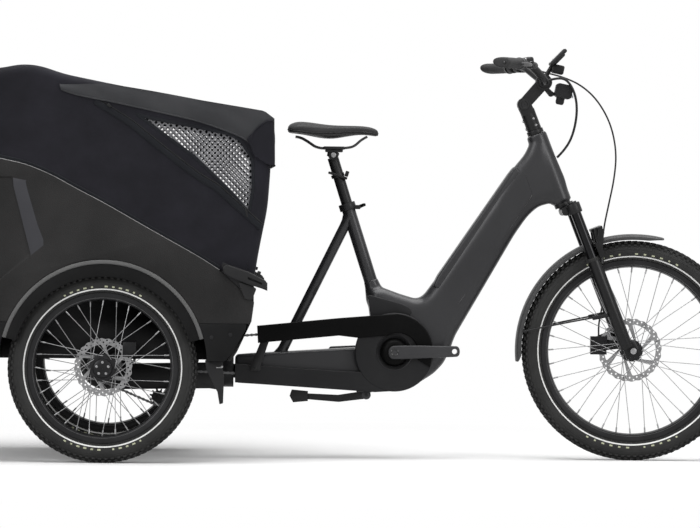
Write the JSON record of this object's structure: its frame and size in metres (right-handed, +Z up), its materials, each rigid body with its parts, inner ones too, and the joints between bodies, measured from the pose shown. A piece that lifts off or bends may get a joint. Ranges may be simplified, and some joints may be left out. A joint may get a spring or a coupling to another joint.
{
  "type": "cargo tricycle",
  "caption": "Tilting electric cargo tricycle: low step frame, one front wheel, two rear wheels beside a covered box, side mesh windows, mid motor and chain drive.",
  "frame": {"origin": "centre of the footprint's bounding box, on the ground", "axes": "+X forward, +Y to the rider's left, +Z up"},
  "size_m": [2.2634, 0.882, 1.1746],
  "materials": {
    "frame_paint": "satin dark grey paint",
    "black_paint": "satin black paint",
    "housing_paint": "satin black paint",
    "tyre_rubber": "matt rubber",
    "rim_black": "satin anodised",
    "spoke_steel": "polished steel",
    "hub_black": "satin anodised",
    "box_foam": "fine grained moulded foam",
    "plastic_black": "grained plastic",
    "canopy_fabric": "woven coated fabric",
    "bench_fabric": "woven fabric",
    "alloy_tube": "bare tube",
    "chain_steel": "oiled steel",
    "cover_plastic": "satin plastic",
    "battery_shell": "satin plastic",
    "motor_alloy": "cast",
    "crank_black": "satin anodised",
    "bar_black": "satin anodised",
    "control_plastic": "satin plastic",
    "button_red": "gloss plastic",
    "lamp_black": "satin plastic",
    "saddle_skin": "matt vinyl",
    "cord_rubber": "satin rubber"
  },
  "bodies": {
    "rear_module": {"rear_subframe": "black_paint", "axle_housing": "housing_paint", "rear_calipers": "hub_black", "lower_tub": "plastic_black", "side_panel_right": "box_foam", "side_panel_left": "box_foam", "front_panel": "box_foam", "tailgate": "box_foam", "fenders": "plastic_black", "bench": "bench_fabric", "canopy": "canopy_fabric", "canopy_hoops": "alloy_tube", "visor_flap": "canopy_fabric", "corner_handles": "plastic_black", "chain_rear": "chain_steel"},
    "wheel_rear_right": {"tyre_rear_right": "tyre_rubber", "rim_rear_right": "rim_black", "spokes_rear_right": "spoke_steel", "hub_rear_right": "hub_black"},
    "wheel_rear_left": {"tyre_rear_left": "tyre_rubber", "rim_rear_left": "rim_black", "spokes_rear_left": "spoke_steel", "hub_rear_left": "hub_black"},
    "sprocket": {"rear_sprocket": "chain_steel"},
    "tensioner": {"tensioner_arm": "housing_paint"},
    "pulley": {"tension_pulley": "control_plastic"},
    "roller": {"guide_roller": "control_plastic"},
    "front_frame": {"main_frame": "frame_paint", "rear_beams": "frame_paint", "battery": "battery_shell", "battery_cover": "cover_plastic", "motor": "motor_alloy", "motor_cover": "cover_plastic", "chain_guard": "plastic_black", "chain_front": "chain_steel"},
    "crankset": {"cranks": "crank_black", "chainring": "chain_steel"},
    "stand": {"kickstand": "bar_black"},
    "seat": {"seatpost": "bar_black", "saddle_shell": "control_plastic", "saddle_cushion": "saddle_skin"},
    "seat_latch": {"seat_lever": "bar_black"},
    "steering": {"fork_upper": "bar_black", "stem_lower": "bar_black", "brake_hose": "cord_rubber", "cable_bundle": "cord_rubber"},
    "bars": {"stem_upper": "bar_black", "handlebar": "bar_black", "bar_controls": "control_plastic"},
    "lever_left": {"brake_lever_left": "bar_black"},
    "lever_right": {"brake_lever_right": "bar_black"},
    "button": {"horn_button": "button_red"},
    "lamp": {"headlight": "lamp_black"},
    "fork_slider": {"fork_lowers": "black_paint", "front_caliper": "hub_black", "front_fender": "plastic_black"},
    "wheel_front": {"tyre_front": "tyre_rubber", "rim_front": "rim_black", "spokes_front": "spoke_steel", "hub_front": "hub_black"}
  },
  "joints": [
    {"name": "lean", "type": "hinge", "parent": "rear_module", "child": "front_frame", "pos_m": [-0.33175, 0, 0.245], "axis": [1, 0, 0], "range_deg": [-15, 15], "stiffness_Nm_per_rad": 900},
    {"name": "rear_right_spin", "type": "hinge", "parent": "rear_module", "child": "wheel_rear_right", "pos_m": [-0.68175, -0.38, 0.263], "axis": [0, 1, 0], "continuous": true},
    {"name": "rear_left_spin", "type": "hinge", "parent": "rear_module", "child": "wheel_rear_left", "pos_m": [-0.68175, 0.38, 0.263], "axis": [0, 1, 0], "continuous": true},
    {"name": "sprocket_spin", "type": "hinge", "parent": "rear_module", "child": "sprocket", "pos_m": [-0.68175, -0.052, 0.263], "axis": [0, 1, 0], "continuous": true},
    {"name": "tensioner_swing", "type": "hinge", "parent": "rear_module", "child": "tensioner", "pos_m": [-0.45975, -0.042, 0.186], "axis": [0, 1, 0], "range_deg": [0, 5], "stiffness_Nm_per_rad": 2, "springref_deg": -34.38},
    {"name": "pulley_spin", "type": "hinge", "parent": "tensioner", "child": "pulley", "pos_m": [-0.53175, -0.052, 0.17], "axis": [0, 1, 0], "continuous": true},
    {"name": "roller_spin", "type": "hinge", "parent": "rear_module", "child": "roller", "pos_m": [-0.44675, -0.052, 0.222], "axis": [0, 1, 0], "continuous": true},
    {"name": "steering_turn", "type": "hinge", "parent": "front_frame", "child": "steering", "pos_m": [0.61525, 0, 0.734], "axis": [-0.3649, 0, 0.9311], "range_deg": [-40, 40], "deforming": ["cable_bundle"]},
    {"name": "stem_tilt", "type": "hinge", "parent": "steering", "child": "bars", "pos_m": [0.50325, 0, 1.013], "axis": [0, 1, 0], "range_deg": [-20, 12]},
    {"name": "brake_pull_left", "type": "hinge", "parent": "bars", "child": "lever_left", "pos_m": [0.50695, 0.23419, 1.11928], "axis": [0, 0, 1], "range_deg": [0, 10], "stiffness_Nm_per_rad": 1.5, "springref_deg": -5.73},
    {"name": "brake_pull_right", "type": "hinge", "parent": "bars", "child": "lever_right", "pos_m": [0.50695, -0.23419, 1.11928], "axis": [0, 0, -1], "range_deg": [0, 10], "stiffness_Nm_per_rad": 1.5, "springref_deg": -5.73},
    {"name": "horn_press", "type": "slide", "parent": "bars", "child": "button", "axis": [-0.4751, -0.1974, -0.8575], "range_m": [0, 0.002], "stiffness_N_per_m": 400, "springref_m": -0.001},
    {"name": "lamp_tilt", "type": "hinge", "parent": "bars", "child": "lamp", "pos_m": [0.58025, 0, 1.044], "axis": [0, 1, 0], "range_deg": [-12, 12]},
    {"name": "fork_travel", "type": "slide", "parent": "steering", "child": "fork_slider", "axis": [-0.3649, 0, 0.9311], "range_m": [0, 0.07], "stiffness_N_per_m": 7000, "springref_m": -0.05, "deforming": ["brake_hose"]},
    {"name": "front_spin", "type": "hinge", "parent": "fork_slider", "child": "wheel_front", "pos_m": [0.81825, 0, 0.3135], "axis": [0, 1, 0], "continuous": true},
    {"name": "crank_spin", "type": "hinge", "parent": "front_frame", "child": "crankset", "pos_m": [0.13825, 0, 0.304], "axis": [0, 1, 0], "continuous": true},
    {"name": "stand_swing", "type": "hinge", "parent": "front_frame", "child": "stand", "pos_m": [0.06025, -0.03, 0.181], "axis": [0, -1, 0], "range_deg": [0, 55]},
    {"name": "seat_height", "type": "slide", "parent": "front_frame", "child": "seat", "axis": [-0.3081, 0, 0.9513], "range_m": [-0.06, 0.05]},
    {"name": "latch_swing", "type": "hinge", "parent": "front_frame", "child": "seat_latch", "pos_m": [0.03472, 0, 0.71539], "axis": [0, 1, 0], "range_deg": [0, 80]}
  ],
  "couplings": [
    {"joint": "sprocket_spin", "follows": "crank_spin", "ratio": 1.6667},
    {"joint": "pulley_spin", "follows": "crank_spin", "ratio": 3.6364},
    {"joint": "roller_spin", "follows": "crank_spin", "ratio": -3.5497}
  ]
}
